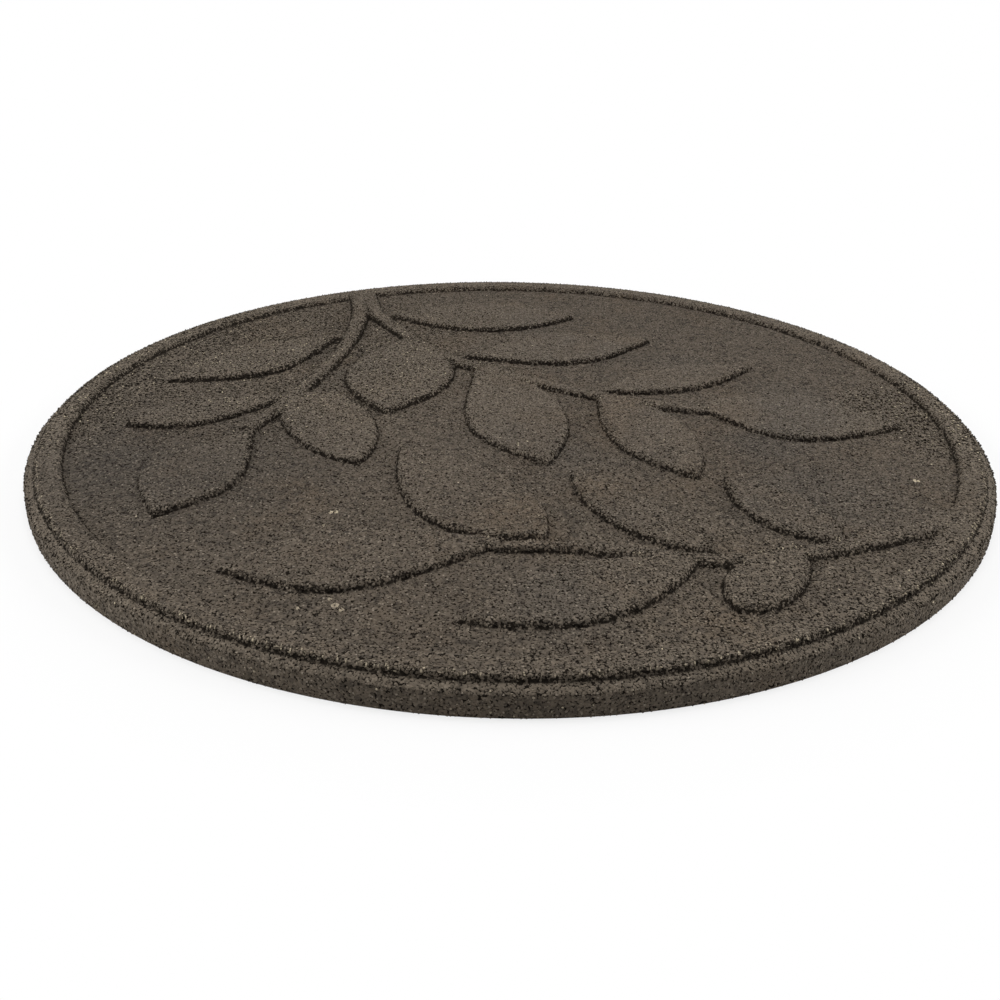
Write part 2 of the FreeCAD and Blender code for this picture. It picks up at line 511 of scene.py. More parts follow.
def skin_tone(points):
    """How pale the rubber is, where 0 is plain rubber and 1 is well scuffed.

    The raised share takes the field's darkening away. Ramps along Y add a painted sheen to
    the tops and the rim towards the far side, and take a little from all. The step and the
    shoulder have one tone each of painted light, and the wall's painted light grows with its
    height and with how far the place lies to the left or right.
    """
    r = np.hypot(points[:, 0], points[:, 1])
    y, z = points[:, 1], points[:, 2]
    far = ramp(y, 0, 120)
    raised = ramp(z, field_level, top_level - field_level)
    # the field is darker, the tops get a painted sheen towards the far side, and all lose a little towards
    # it
    tone = FIELD_DARKENING * (raised - 1) + 0.25 * raised * ramp(y, -100, 60) - 0.12 * far
    # painted sheen: the rim is paler, and more so towards the far side
    rim_tone_and_sheen = tone + 0.05 + 0.17 * ramp(y, -200, 150) + 0.28 * far
    tone = np.where((r > field_radius) & (r < rim_outer), rim_tone_and_sheen, tone)
    tone = tone + OPEN_PALE * openness(points)
    tone = np.where((r > rim_outer - step_width) & (r < rim_outer + 0.3), STEP_PAINTED_LIGHT, tone)
    tone = np.where((r > rim_outer + 0.3) & (z > wall_level - 0.1), SHOULDER_PAINTED_LIGHT, tone)
    # painted light: the wall is painted paler higher up and towards its left and right
    wall_painted_light = (0.6 + 0.5 * ramp(z, 3.5, 1)) * np.abs(points[:, 0]) / radius
    return np.where((r > rim_outer) & (z < wall_level - 0.1), wall_painted_light, tone)


print("open crumb on", round(float((openness(face) > 0.5).mean()), 2), "of the face")

# %% [markdown]
# Face, section and underside become one closed skin. Its points are numbered face first,
# then ring by ring outwards and under, and last the middle of the underside. The triangles
# and squares are made as whole arrays of point numbers.

# %% The skin's mesh
def border_order(size):
    """Point numbers round a square grid's border, counter-clockwise from the +X side's middle."""
    number = np.arange(size * size).reshape(size, size)
    right, top = number[:, -1], number[-1, ::-1]
    left, bottom = number[::-1, 0], number[0]
    loop = np.concatenate([right[:-1], top[:-1], left[:-1], bottom[:-1]])
    return np.roll(loop, -(size // 2))


def skin():
    """The whole moulding as one closed mesh: the face, rings (r cos a, r sin a, z), the middle."""
    numbers = np.arange(side * side).reshape(side, side)
    cells = np.stack([numbers[:-1, :-1], numbers[:-1, 1:], numbers[1:, 1:], numbers[1:, :-1]], -1)
    faces, points, edge_values = [cells.reshape(-1, 4)], [np.c_[face, face_z]], [face_from_edge]
    rings = [(ring_r[i], ring_z[i], rows[i, 3]) for i in range(1, len(rows))]
    rings += [(r, 0.0, REACH) for r in UNDERSIDE]
    start, previous = side * side, border_order(side)
    for r, z, from_edge in rings:
        points.append(np.stack([r * np.cos(angle), r * np.sin(angle), np.broadcast_to(z, places)], 1))
        edge_values.append(np.full(places, from_edge))
        current = start + np.arange(places)
        faces.append(squares_between(previous, current))
        previous, start = current, start + places
    points.append(np.zeros((1, 3)))
    edge_values.append([REACH])
    faces.append(np.stack([previous, np.full(places, start), np.roll(previous, -1)], 1))
    points = np.vstack(points)
    piece = new_mesh("rubber_skin", points, faces)
    add_value(piece, "from_edge", np.concatenate(edge_values))
    add_value(piece, "tone", skin_tone(points))
    add_value(piece, "open", openness(points))
    piece.data.polygons.foreach_set("use_smooth", np.ones(len(piece.data.polygons), bool))
    return piece


rubber_skin = skin()
triangles = len(rubber_skin.data.loops) - 2 * len(rubber_skin.data.polygons)
print("skin points", len(rubber_skin.data.vertices), "triangles", triangles)

# %% [markdown]
# Loose crumb is what makes the edges look torn. Each crumb is a low chip with five
# irregular corners, a larger foot sunk in the skin and a smaller, slightly tilted flat top.
# They are built together as arrays: one row per crumb, one column per corner. A chip needs
# few faces, because a crumb is only about a millimetre across.

# %% A scatter of crumb
CORNERS = 5
LEAN = 0.16                  # spread of a chip's tilt, and of the angles between its corners
TOP_SHARE = 0.74             # its top over its foot
UP = np.array([0.0, 0.0, 1.0])


def chips(name, middle, normal, size, rise, tone, from_edge, seed, sunk=0.5, slim=1.0):
    """Crumbs as closed chips at given places.

    A corner of a chip lies at middle + size w (u cos a + v sin a), with u and v square to
    the normal, a its angle and w a random share of the size. The foot ring lies under the
    surface and the top ring above it. The value foot is slim at the foot and 0 at the top.
    """
    rng = np.random.default_rng(seed)
    count = len(middle)
    slim = np.broadcast_to(slim, count)
    n = normal + rng.normal(0, LEAN, (count, 3))
    n /= np.linalg.norm(n, axis=1)[:, None]
    helper = np.where(np.abs(n[:, 2:3]) < 0.8, [[0.0, 0.0, 1.0]], [[1.0, 0.0, 0.0]])
    u = np.cross(helper, n)
    u /= np.linalg.norm(u, axis=1)[:, None]
    v = np.cross(n, u)
    turn = rng.uniform(0, 2 * math.pi, (count, 1))
    a = turn + np.arange(CORNERS) * 2 * math.pi / CORNERS + rng.normal(0, LEAN, (count, CORNERS))
    stretch = rng.uniform(0.62, 1.0, (count, 1)) * slim[:, None]
    w = size[:, None] / 2 * rng.uniform(0.72, 1.12, (count, CORNERS))
    flat_x, flat_y = w * np.cos(a), w * stretch * np.sin(a)
    spread = flat_x[..., None] * u[:, None] + flat_y[..., None] * v[:, None]
    top = middle[:, None] + spread * TOP_SHARE + n[:, None] * rise[:, None, None]
    foot = middle[:, None] + spread - n[:, None] * sunk
    points = np.concatenate([foot, top], 1).reshape(-1, 3)
    points[:, 2] = np.clip(points[:, 2], 0.01, thickness)
    over = np.hypot(points[:, 0], points[:, 1]) / radius
    points[:, :2] /= np.maximum(over, 1.0)[:, None]
    first = (np.arange(count) * 2 * CORNERS)[:, None]
    ring = np.arange(CORNERS)
    after = np.roll(ring, -1)
    sides = np.stack([ring, after, after + CORNERS, ring + CORNERS], 1)
    faces = [(first[:, None] + sides).reshape(-1, 4), first + CORNERS + ring, first + ring[::-1]]
    piece = new_mesh(name, points, faces)
    add_value(piece, "tone", np.repeat(tone, 2 * CORNERS))
    add_value(piece, "from_edge", np.repeat(from_edge, 2 * CORNERS))
    # the material paints shade on a chip's sides from this value, darkest at its foot
    add_value(piece, "foot", np.repeat(np.stack([slim, 0 * slim], 1), CORNERS, axis=1))
    add_value(piece, "open", openness(points))
    print(name, "crumbs", count, "triangles", count * (4 * CORNERS - 4))
    return piece


print("a chip has", 4 * CORNERS - 4, "triangles")

# %% [markdown]
# Along the edges of leaves and stems the crumb sits thickest. It is set on the drawn edge
# itself, at the foot of the side, and faces outwards, which roughens the line of the leaf.
# Where an outline runs on inside another leaf or a stem there is no edge to be seen, so
# there the crumb is moved further in, and what then lies too deep is left out.

# %% Crumb on the leaves and stems
SPRIG_ROWS = ((1.7, 0.4, 1.7), (0.9, 0.25, 1.3), (0.35, 0.15, 2.2), (-0.7, 0.6, 3.4))
TOO_DEEP = 3.2               # crumb further than this from any edge is left out
FLAKE_SLIM = 0.4             # how wide a light flake is for its length


def along_outline(outline, spacing, rng):
    """Places at random along a closed outline, about one for each spacing."""
    after = np.roll(outline, -1, axis=0)
    lengths = np.hypot(*(after - outline).T)
    total = lengths.sum()
    at = (np.arange(int(total / spacing)) + rng.uniform(0, 1, int(total / spacing))) * spacing
    ends = np.cumsum(lengths)
    i = np.minimum(np.searchsorted(ends, at), len(ends) - 1)
    t = ((at - (ends[i] - lengths[i])) / lengths[i])[:, None]
    return outline[i] * (1 - t) + after[i] * t


def crumb_on_sprigs():
    """Rows of crumb along the sprigs, each with its distance inward, spread and spacing.

    A place moves against the way out of the nearest edge. On its own outline that way has
    no length, so a row's distance only counts where the outline runs inside another form.
    On a side the normal leans out by 1 + s / side_width. Crumb about 1.1 mm inward is larger
    and lighter, by e^(-((s + 1.1) / 0.5)^2), with s the distance to the edge. The lighter
    tone there, and its pale flakes, are partly pale shreds and partly a painted highlight
    where the crest catches the light.
    """
    rng = np.random.default_rng(31)
    places_mm = []
    for outline in outlines:
        for mean, spread, spacing in SPRIG_ROWS:
            spot = along_outline(outline, spacing, rng)
            depth = rng.normal(mean, spread, len(spot))
            _, out = relief_distance(spot)
            places_mm.append(spot - out * depth[:, None])
    spots = np.vstack(places_mm)
    s, out = relief_distance(spots)
    keep = np.abs(s) < TOO_DEEP
    spots, s, out = spots[keep], s[keep], out[keep]
    z, torn = face_height(spots)
    on_side = np.clip(1 + s / side_width, 0, 1)[:, None] * (s < 0.1)[:, None]
    normal = np.c_[out * on_side, np.sqrt(1.02 - on_side[:, 0] ** 2)]
    count = len(spots)
    crest = np.exp(-((s + 1.1) / 0.5) ** 2)
    size = rng.uniform(0.7, 1.3, count) + 0.25 * crest
    rise = rng.uniform(0.0, 0.25, count) + rng.uniform(0.0, 0.3, count) * crest
    # crumb on the crest is paler: partly a painted highlight where the crest catches the light
    tone = rng.normal(0.1, 0.7, count) + 0.8 * crest
    light = rng.uniform(0, 1, count) < 0.45 * crest
    tone = np.where(light, rng.uniform(2.1, 2.8, count), tone)
    size = np.where(light, rng.uniform(1.7, 2.8, count), size)
    rise = np.where(light, rng.uniform(0.2, 0.45, count), rise)
    slim = np.where(light, FLAKE_SLIM, 1.0)
    return chips("crumb_on_sprigs", np.c_[spots, z], normal, size, rise, tone, torn, 32, 0.5, slim)


sprig_crumb = crumb_on_sprigs()

# %% [markdown]
# On the flats the mould pressed the crumb level, so only part of it stands out. It is
# scattered over the whole face on a jittered grid, which keeps it even, and it is thicker,
# larger and higher where the crumb stayed open.

# %% Crumb on the flats
def crumb_on_flats():
    """Crumb over the field, the leaves and the rim: a jittered grid, thinned out where it is closed.

    A place keeps its crumb with the chance 0.26 + 0.6 times its openness, and 0.2 more on
    the rim, and none lies on a side.
    """
    rng = np.random.default_rng(35)
    pitch = 2.4
    line = np.arange(-rim_outer, rim_outer, pitch)
    x, y = np.meshgrid(line, line)
    spots = np.stack([x.ravel(), y.ravel()], 1) + rng.uniform(-0.5, 0.5, (x.size, 2)) * pitch
    r = np.hypot(*spots.T)
    open_here = openness(spots)
    chance = 0.26 + 0.6 * open_here + 0.2 * (r > field_radius)
    keep = (rng.uniform(0, 1, len(spots)) < chance) & (r < rim_outer - 1.5)
    spots, open_here = spots[keep], open_here[keep]
    s, _ = relief_distance(spots)
    keep = (s > 0.8) | (s < -2.0)
    spots, open_here = spots[keep], open_here[keep]
    z, torn = face_height(spots)
    middle = np.c_[spots, z]
    count = len(spots)
    size = rng.uniform(0.7, 1.3, count) + 0.5 * open_here
    rise = rng.uniform(0.04, 0.30, count) + rng.uniform(0.1, 0.4, count) * open_here
    tone = skin_tone(middle) + rng.normal(0.25, 0.5, count) * (1 + open_here)
    return chips("crumb_on_flats", middle, UP, size, rise, tone, torn, 36, 0.25)


flat_crumb = crumb_on_flats()

# %% [markdown]
# Round the rim, the shoulder and the wall a row of crumb is a circle with a radius, a height
# and a direction. The edge between shoulder and wall gets the closest row, and the wall has
# five rows over its height and one at the ground. Among the crumb on the rim's outer crest
# lie slim, light flakes: shreds and fibres that the mould pulled out. Their paleness is
# partly their own and partly a painted highlight, for the light that the crest catches.

# %% Crumb on the rim, the shoulder and the wall
RIM_ROWS = [  # radius, height, how far the crumb leans out, spreads of radius and height, spacing
    (rim_outer - 1.7, top_level - 0.02, 0.1, 0.4, 0.05, 1.5),
    (rim_outer - 0.7, top_level - 0.15, 0.45, 0.2, 0.1, 1.2),
    (rim_outer - 0.25, top_level - 0.9, 0.8, 0.1, 0.3, 2.6),
    (rim_outer + 0.4, shoulder_level - 0.05, 0.5, 0.3, 0.1, 3.0),
    (rim_outer + 2.2, shoulder_level - 1.0, 0.4, 1.4, 0.1, 2.0),
    (radius - 1.2, wall_level + 0.5, 0.6, 0.4, 0.2, 1.1),
]
WALL_ROWS = [(radius - 0.35 - 0.06 * z, z, 0.99, 0.05, 0.6, 1.6)
             for z in np.linspace(1.2, wall_level - 0.6, 5)]
WALL_ROWS.append((radius - 0.45, 0.45, 0.9, 0.15, 0.3, 1.1))


def crumb_on_section(name, crumb_rows, tallest, seed):
    """Crumb round the disc: each crumb at (r cos a, r sin a, z), with its row's r and z shaken."""
    rng = np.random.default_rng(seed)
    middles, normals = [], []
    for r, z, out_share, spread_r, spread_z, spacing in crumb_rows:
        count = int(2 * math.pi * r / spacing)
        a = (np.arange(count) + rng.uniform(0, 1, count)) * 2 * math.pi / count
        rr = r + rng.uniform(-1, 1, count) * spread_r
        zz = z + rng.uniform(-1, 1, count) * spread_z
        middles.append(np.stack([rr * np.cos(a), rr * np.sin(a), zz], 1))
        up = math.sqrt(1 - out_share ** 2)
        normals.append(np.stack([out_share * np.cos(a), out_share * np.sin(a), np.full(count, up)], 1))
    middle, normal = np.vstack(middles), np.vstack(normals)
    count = len(middle)
    size = rng.uniform(0.7, 1.4, count)
    rise = rng.uniform(0.0, tallest, count)
    from_step = np.hypot(*middle[:, :2].T) - rim_outer
    tone = rng.normal(0.65, 0.8, count)
    # pale flakes on the outer crest: partly their own colour, partly a painted highlight
    light = (rng.uniform(0, 1, count) < 0.3) & (np.abs(from_step + 1.2) < 1.0)
    tone = np.where(light, rng.uniform(2.0, 2.7, count), tone)
    size = np.where(light, rng.uniform(1.7, 2.6, count), size)
    slim = np.where(light, FLAKE_SLIM, 1.0)
    from_step = np.clip(from_step, -REACH, REACH)
    return chips(name, middle, normal, size, rise, tone, from_step, seed + 1, 0.8, slim)


rim_crumb = crumb_on_section("crumb_on_rim", RIM_ROWS, 0.3, 41)
wall_crumb = crumb_on_section("crumb_on_wall", WALL_ROWS, 0.5, 51)

# %% [markdown]
# Ground tyres bring other waste along: bits of textile, plastic and grit. The few that are
# large enough to see are placed one by one. They lie pressed into the face as flat chips.

# %% Bits of other waste
WASTE = [  # x, y, size, tone: flat flakes, some made of two or three bits, and single specks
    (-70.9, -114.3, 3.2, 2.8), (-68.9, -113.6, 3.0, 2.8), (-71.9, -124.7, 1.6, 3.2),
    (-58.4, -180.0, 5.0, 2.45), (-55.9, -182.6, 4.2, 2.4), (-60.8, -176.1, 2.8, 2.3),
    (-70.8, -182.0, 2.6, 2.45), (-100.0, -153.0, 2.6, 2.3), (12.0, -118.4, 2.3, 2.3),
    (14.0, -119.8, 2.2, 2.3), (175.4, -76.2, 3.2, 3.0), (177.0, -76.6, 2.8, 3.0),
    (72.3, -115.0, 1.6, 3.0), (171.9, -87.8, 2.2, 2.3),
]
WASTE_RISE = 0.16            # how far a bit stands out


def waste_bits():
    """Flat pale bits that lie pressed into the face."""
    x, y, size, tone = np.array(WASTE).T
    z, torn = face_height(np.c_[x, y])
    rise = np.full(len(WASTE), WASTE_RISE)
    return chips("waste_bits", np.c_[x, y, z], UP, size, rise, tone, torn, 62)


bits = waste_bits()

# %% [markdown]
# The material is vulcanised crumb rubber in a binder, pressed in a mould. It is matt and
# brown-grey, from clean tread rubber that is almost black to scuffed rubber that is a warm
# grey, and no two granules are quite alike. Rubber has an IOR of about 1.5, and a surface
# this rough shows that only as a weak, wide sheen.
# It is put together in steps of a few nodes each: granules, creases, gaps and holes, then
# the colours, and last the small heights.

# %% Colours and a helper for nodes
def linear(hexa):
    """An sRGB hex colour as linear RGBA, by the sRGB curve."""
    parts = [int(hexa[i:i + 2], 16) / 255 for i in (1, 3, 5)]
    return [c / 12.92 if c <= 0.04045 else ((c + 0.055) / 1.055) ** 2.4 for c in parts] + [1.0]


def add(tree, kind, inputs=None, **settings):
    """Adds a node, sets its properties, and fills its inputs with values or links them.

    A node given as an input stands for its first output.
    """
    node = tree.nodes.new("ShaderNode" + kind)
    for name, value in settings.items():
        setattr(node, name, value)
    for key, value in (inputs or {}).items():
        if isinstance(value, bpy.types.Node):
            value = value.outputs[0]
        if isinstance(value, bpy.types.NodeSocket):
            tree.links.new(value, node.inputs[key])
        else:
            node.inputs[key].default_value = value
    return node


RUBBER = "#665C50"           # a pressed granule
RUBBER_WARM = "#6B5B49"      # brown granules
RUBBER_COOL = "#4B4A48"      # bluish-black tyre tread
RUBBER_DEEP = "#3B352F"      # granules that lie lower or hold dirt
RUBBER_DARK = "#35322F"      # tread rubber
RUBBER_PALE = "#857A6C"      # scuffed, light granules
RUBBER_GLINT = "#9A8F80"     # painted glint: a granule corner catching the light
GAP = "#15120F"              # the dark between granules: painted shade in gaps, pits, holes, creases and at crumb feet, and the darkest tones
SPECK = "#D2C4A8"            # other waste ground in
print("plain rubber in linear values", [round(c, 3) for c in linear(RUBBER)])

# %% [markdown]
# The granules come first, because all else follows them. A Voronoi texture cuts the rubber
# into cells, as if each granule had grown from its own point, and gives each cell three
# random numbers. Ground rubber has no straight sides, so the coordinates are bent by a
# fine noise before they go in. Object coordinates are metres, so a scale is 1 / size.

# %% Granules
GRANULE = 0.9                # in millimetres: they are 0.5 to 1.3 mm across

rubber = bpy.data.materials.new("moulded_crumb_rubber")
rubber.use_nodes = True
tree = rubber.node_tree
tree.nodes.clear()
place = add(tree, "TexCoord").outputs["Object"]
parts = add(tree, "SeparateXYZ", {"Vector": place})
along, above = parts.outputs["Y"], parts.outputs["Z"]
from_edge, tone, open_crumb, foot = [
    add(tree, "Attribute", attribute_name=name).outputs["Fac"]
    for name in ("from_edge", "tone", "open", "foot")]

# the noise's colour stays within about 0.25 of grey, so the bend is up to 0.2 mm
noise = add(tree, "TexNoise", {"Vector": place, "Scale": 1 / (1.6 * MM), "Detail": 1.0})
bend = add(tree, "VectorMath", {0: noise.outputs["Color"], 1: (0.5, 0.5, 0.5)}, operation="SUBTRACT")
bend = add(tree, "VectorMath", {0: bend, "Scale": 0.8 * MM}, operation="SCALE")
spot = add(tree, "VectorMath", {0: place, 1: bend}, operation="ADD")
cell = {"Vector": spot, "Scale": 1 / (GRANULE * MM)}
granule = add(tree, "TexVoronoi", cell)
border = add(tree, "TexVoronoi", cell, feature="DISTANCE_TO_EDGE")
own = add(tree, "SeparateColor", {"Color": granule.outputs["Color"]})
own_pale, own_dark, own_reach = own.outputs[0], own.outputs[1], own.outputs[2]
print("granules of", GRANULE, "mm, nodes so far", len(tree.nodes))

# %% [markdown]
# A dark crease at the foot of each side is what makes the leaf drawing readable from a
# distance. Its darkness is painted shade: the shade that falls in the torn corner at the
# foot of a side. A granule belongs to the crease if it lies both low down and close to
# where a side starts. Each granule moves both limits by its own random number, so the
# crease's border runs round granules and looks torn instead of drawn.

# %% Creases: painted shade at the foot of each side
CREASE_SHADE_INWARD = 0.6          # how far inward from the foot of a side its middle lies
CREASE_SHADE_ENDS = (1.75, 1.2)    # distances from that middle where it ends, and where it is full
CREASE_SHADE_LEVELS = (12.8, 12.2)     # heights where it ends, and where it is full
OWN_REACH = 2.8              # a granule lowers those heights by up to this much
FAR_RAISE = 0.6              # towards +Y the painted shade reaches this much higher up the sides
RIM_RAISE = -0.45            # but the rim's inner side is only dark at its foot
OPEN_RAISE = 0.5             # and it reaches higher where the crumb is open
RIM_FOOT = 209.0             # radius near which the rim's inner side starts

off = add(tree, "Math", {0: from_edge, 1: CREASE_SHADE_INWARD}, operation="ADD")
off = add(tree, "Math", {0: off}, operation="ABSOLUTE")
off = add(tree, "Math", {0: own_reach, 1: 0.5, 2: off}, operation="MULTIPLY_ADD")
close = add(tree, "MapRange", {"Value": off, "From Min": CREASE_SHADE_ENDS[0], "From Max": CREASE_SHADE_ENDS[1]})

raised = add(tree, "MapRange", {"Value": along, "From Min": -0.04, "From Max": 0.10,
                                "To Max": FAR_RAISE * MM})
off_rim = add(tree, "VectorMath", {0: place}, operation="LENGTH").outputs["Value"]
off_rim = add(tree, "Math", {0: off_rim, 1: RIM_FOOT * MM}, operation="SUBTRACT")
off_rim = add(tree, "Math", {0: off_rim}, operation="ABSOLUTE")
on_rim = add(tree, "MapRange", {"Value": off_rim, "From Min": 9 * MM, "From Max": 6 * MM})
raised = add(tree, "Mix", {0: on_rim, 2: raised, 3: RIM_RAISE * MM})
level = add(tree, "Math", {0: own_reach, 1: OWN_REACH * MM, 2: above}, operation="MULTIPLY_ADD")
level = add(tree, "Math", {0: level, 1: raised}, operation="SUBTRACT")
level = add(tree, "Math", {0: open_crumb, 1: -OPEN_RAISE * MM, 2: level}, operation="MULTIPLY_ADD")
low_down = add(tree, "MapRange", {"Value": level, "From Min": CREASE_SHADE_LEVELS[0] * MM,
                                  "From Max": CREASE_SHADE_LEVELS[1] * MM})
# painted shade: granules that lie both low down and close to the foot of a side
crease_shade = add(tree, "Math", {0: close, 1: low_down}, operation="MULTIPLY")
print("nodes so far", len(tree.nodes))

# %% [markdown]
# Between the granules lie short gaps, and a pit where three of them meet. Both open only in
# places, which a noise of granule size picks, and more of them open in a torn band along
# each side and where the crumb is open. The wall rubbed along the mould as it came out,
# which closed most of its gaps.

# %% Gaps and pits
torn = add(tree, "Math", {0: from_edge, 1: 1.0}, operation="ADD")
torn = add(tree, "Math", {0: torn}, operation="ABSOLUTE")
torn = add(tree, "MapRange", {"Value": torn, "From Min": 2.6, "From Max": 0.8})

# how loose the crumb is: patches of 20 mm, the torn band and the open areas each add a share
loose = add(tree, "TexNoise", {"Vector": place, "Scale": 1 / (0.8 * MM), "Detail": 0.0})
patchy = add(tree, "TexNoise", {"Vector": place, "Scale": 1 / (20 * MM), "Detail": 2.0})
for source, share in ((patchy, 0.14), (torn, 0.05), (open_crumb, 0.05)):
    loose = add(tree, "Math", {0: source, 1: share, 2: loose}, operation="MULTIPLY_ADD")
rubbed = add(tree, "MapRange", {"Value": above, "From Min": 9 * MM, "From Max": 7.5 * MM, "To Max": 0.07})
loose = add(tree, "Math", {0: loose, 1: rubbed}, operation="SUBTRACT")

# a gap is as wide as the crumb is loose, in shares of a granule
width = add(tree, "MapRange", {"Value": loose, "From Min": 0.58, "From Max": 0.80,
                               "To Min": -0.02, "To Max": 0.22})
inside = add(tree, "Math", {0: border, 1: width}, operation="SUBTRACT")
gap = add(tree, "MapRange", {"Value": inside, "From Min": 0.0, "From Max": -0.04, "To Max": 0.85})

# and the place furthest from all granules' middles is a pit, up to 0.8 mm across
corner = add(tree, "Math", {0: loose, 1: 0.5, 2: granule}, operation="MULTIPLY_ADD")
pit = add(tree, "MapRange", {"Value": corner, "From Min": 1.02, "From Max": 1.07})
hollow = add(tree, "Math", {0: gap, 1: pit}, operation="MAXIMUM")
print("nodes so far", len(tree.nodes))

# %% [markdown]
# Here and there a whole granule was torn out and left a round hole: up to 1 mm across
# anywhere, up to 1.6 mm in the torn band and the open areas, and a second kind of up to
# 2 mm only where the crumb is open. Each kind has its own wider Voronoi cells, and a cell's
# random number decides whether it has a hole and how large that is. On the rubbed wall
# both are rare.

# %% Holes
HOLES = [  # cell in mm, which random number, torn, open, rubbed shares, limits, reach, softness
    (2.9, 0, 0.3, 0.40, -6.0, 0.45, 1.30, 0.28, 0.05),
    (4.1, 1, 0.0, 1.0, -20.0, 0.95, 2.0, 0.24, 0.04),
]

bent = add(tree, "VectorMath", {0: spot, 1: bend}, operation="ADD")
for size, which, by_torn, by_open, by_rubbed, least, most, reach, soft in HOLES:
    hole = add(tree, "TexVoronoi", {"Vector": bent, "Scale": 1 / (size * MM)})
    chance = add(tree, "SeparateColor", {"Color": hole.outputs["Color"]}).outputs[which]
    for source, share in ((torn, by_torn), (open_crumb, by_open), (rubbed, by_rubbed)):
        chance = add(tree, "Math", {0: source, 1: share, 2: chance}, operation="MULTIPLY_ADD")
    wide = add(tree, "MapRange", {"Value": chance, "From Min": least, "From Max": most, "To Max": reach})
    hole = add(tree, "Math", {0: wide, 1: hole}, operation="SUBTRACT")
    hole = add(tree, "MapRange", {"Value": hole, "From Min": 0.0, "From Max": soft})
    hollow = add(tree, "Math", {0: hollow, 1: hole}, operation="MAXIMUM")
print("nodes so far", len(tree.nodes))

# %% [markdown]
# The colour is put on in coats. A coat is a share from 0 to 1 and the colour that it pulls
# the rubber towards. The widest come first: cool and warm patches of 90 and 35 mm, a mottle
# of 3 mm where the crumb lies a little lower or higher, and one wide dark patch where more
# tread rubber went into the mould.

# %% Patches
PATCHES = [  # size in mm, detail, the noise where it begins and where it is full, greatest share
    (90, 1.5, 0.52, 0.72, 0.35),
    (35, 1.5, 0.50, 0.72, 0.40),
    (3, 2.0, 0.46, 0.70, 0.75),
]
DARK_PATCH = (-0.150, -0.060, 0.012)   # its middle, in metres

shares = []
for size, detail, begins, full, most in PATCHES:
    drift = add(tree, "TexNoise", {"Vector": place, "Scale": 1 / (size * MM), "Detail": detail})
    shares.append(add(tree, "MapRange", {"Value": drift, "From Min": begins, "From Max": full,
                                         "To Max": most}))
cool, warm, mottle = shares
away = add(tree, "VectorMath", {0: place, 1: DARK_PATCH}, operation="DISTANCE").outputs["Value"]
away = add(tree, "Math", {0: cool, 1: 0.06, 2: away}, operation="MULTIPLY_ADD")
patch = add(tree, "MapRange", {"Value": away, "From Min": 95 * MM, "From Max": 35 * MM, "To Max": 0.45})
coats = [(cool, RUBBER_COOL), (warm, RUBBER_WARM), (mottle, RUBBER_DEEP), (patch, RUBBER_DARK)]
print("coats", len(coats), "nodes so far", len(tree.nodes))

# %% [markdown]
# Then the granules are coloured one by one. Some are pale, more of them in the torn band,
# and some dark. The tone that the mesh carries makes whole stretches and loose crumbs paler
# or darker, and past 2 it stands for other waste.

# %% Tones of the granules
paler = add(tree, "Math", {0: torn, 1: 0.22, 2: own_pale}, operation="MULTIPLY_ADD")
TONES = [  # what the coat follows, where it begins, where it is full, its greatest share, colour
    (paler, 0.78, 1.0, 0.6, RUBBER_PALE),
    (own_dark, 0.65, 1.0, 0.6, RUBBER_DEEP),
    (tone, 0.0, 1.8, 0.9, RUBBER_PALE),
    (tone, 0.0, -1.2, 0.6, GAP),
    (tone, 2.0, 3.0, 0.9, SPECK),
]
for source, begins, full, most, shade in TONES:
    share = add(tree, "MapRange", {"Value": source, "From Min": begins, "From Max": full, "To Max": most})
    coats.append((share, shade))
print("coats", len(coats), "nodes so far", len(tree.nodes))

# %% [markdown]
# Last come the dots: painted glints, small highlights on granule corners that catch the
# light, and rare pale specks of other waste. A dot is the middle of a Voronoi cell whose
# random number is high enough.

# %% Painted glints and specks
DOTS = [  # cell in mm, share of openness, where it begins and is full, its share, reach, colour
    (1.5, 0.12, 0.72, 0.80, 0.75, (0.30, 0.20), RUBBER_GLINT),
    (4.2, 0.0, 0.985, 0.99, 1.0, (0.13, 0.09), SPECK),
]
for size, by_open, begins, full, most, (outer, inner), shade in DOTS:
    dot = add(tree, "TexVoronoi", {"Vector": place, "Scale": 1 / (size * MM)})
    chance = add(tree, "SeparateColor", {"Color": dot.outputs["Color"]})
    chance = add(tree, "Math", {0: open_crumb, 1: by_open, 2: chance}, operation="MULTIPLY_ADD")
    chance = add(tree, "MapRange", {"Value": chance, "From Min": begins, "From Max": full, "To Max": most})
    near = add(tree, "MapRange", {"Value": dot, "From Min": outer, "From Max": inner})
    coats.append((add(tree, "Math", {0: near, 1: chance}, operation="MULTIPLY"), shade))
print("coats", len(coats), "nodes so far", len(tree.nodes))

# %% [markdown]
# Creases, gaps, pits, holes and the foot of each loose crumb are all dark for one reason:
# little light gets in. So they become one depth, the greatest of them, which is the last
# coat and also takes the sheen away.
# The bump gets real heights in millimetres. Each granule lies at its own tilt, up to about
# 15 degrees, and is rounded towards an open gap. A grit of 0.4 mm lies over everything.

# %% Depth, heights and the rubber itself
SHEEN = 0.18                 # weak, because the surface is rough and dusty
TILT = 0.9                   # how steeply the granules tilt

deep = add(tree, "Math", {0: crease_shade, 1: 0.97}, operation="MULTIPLY")
crumb_foot = add(tree, "MapRange", {"Value": foot, "From Min": 0.06, "From Max": 0.36})
for other in (hollow, crumb_foot):
    deep = add(tree, "Math", {0: deep, 1: other}, operation="MAXIMUM")
deep = add(tree, "Math", {0: deep, 1: 0.94}, operation="MULTIPLY")
coats.append((deep, GAP))
sheen = add(tree, "MapRange", {"Value": deep, "To Min": SHEEN, "To Max": 0.0})

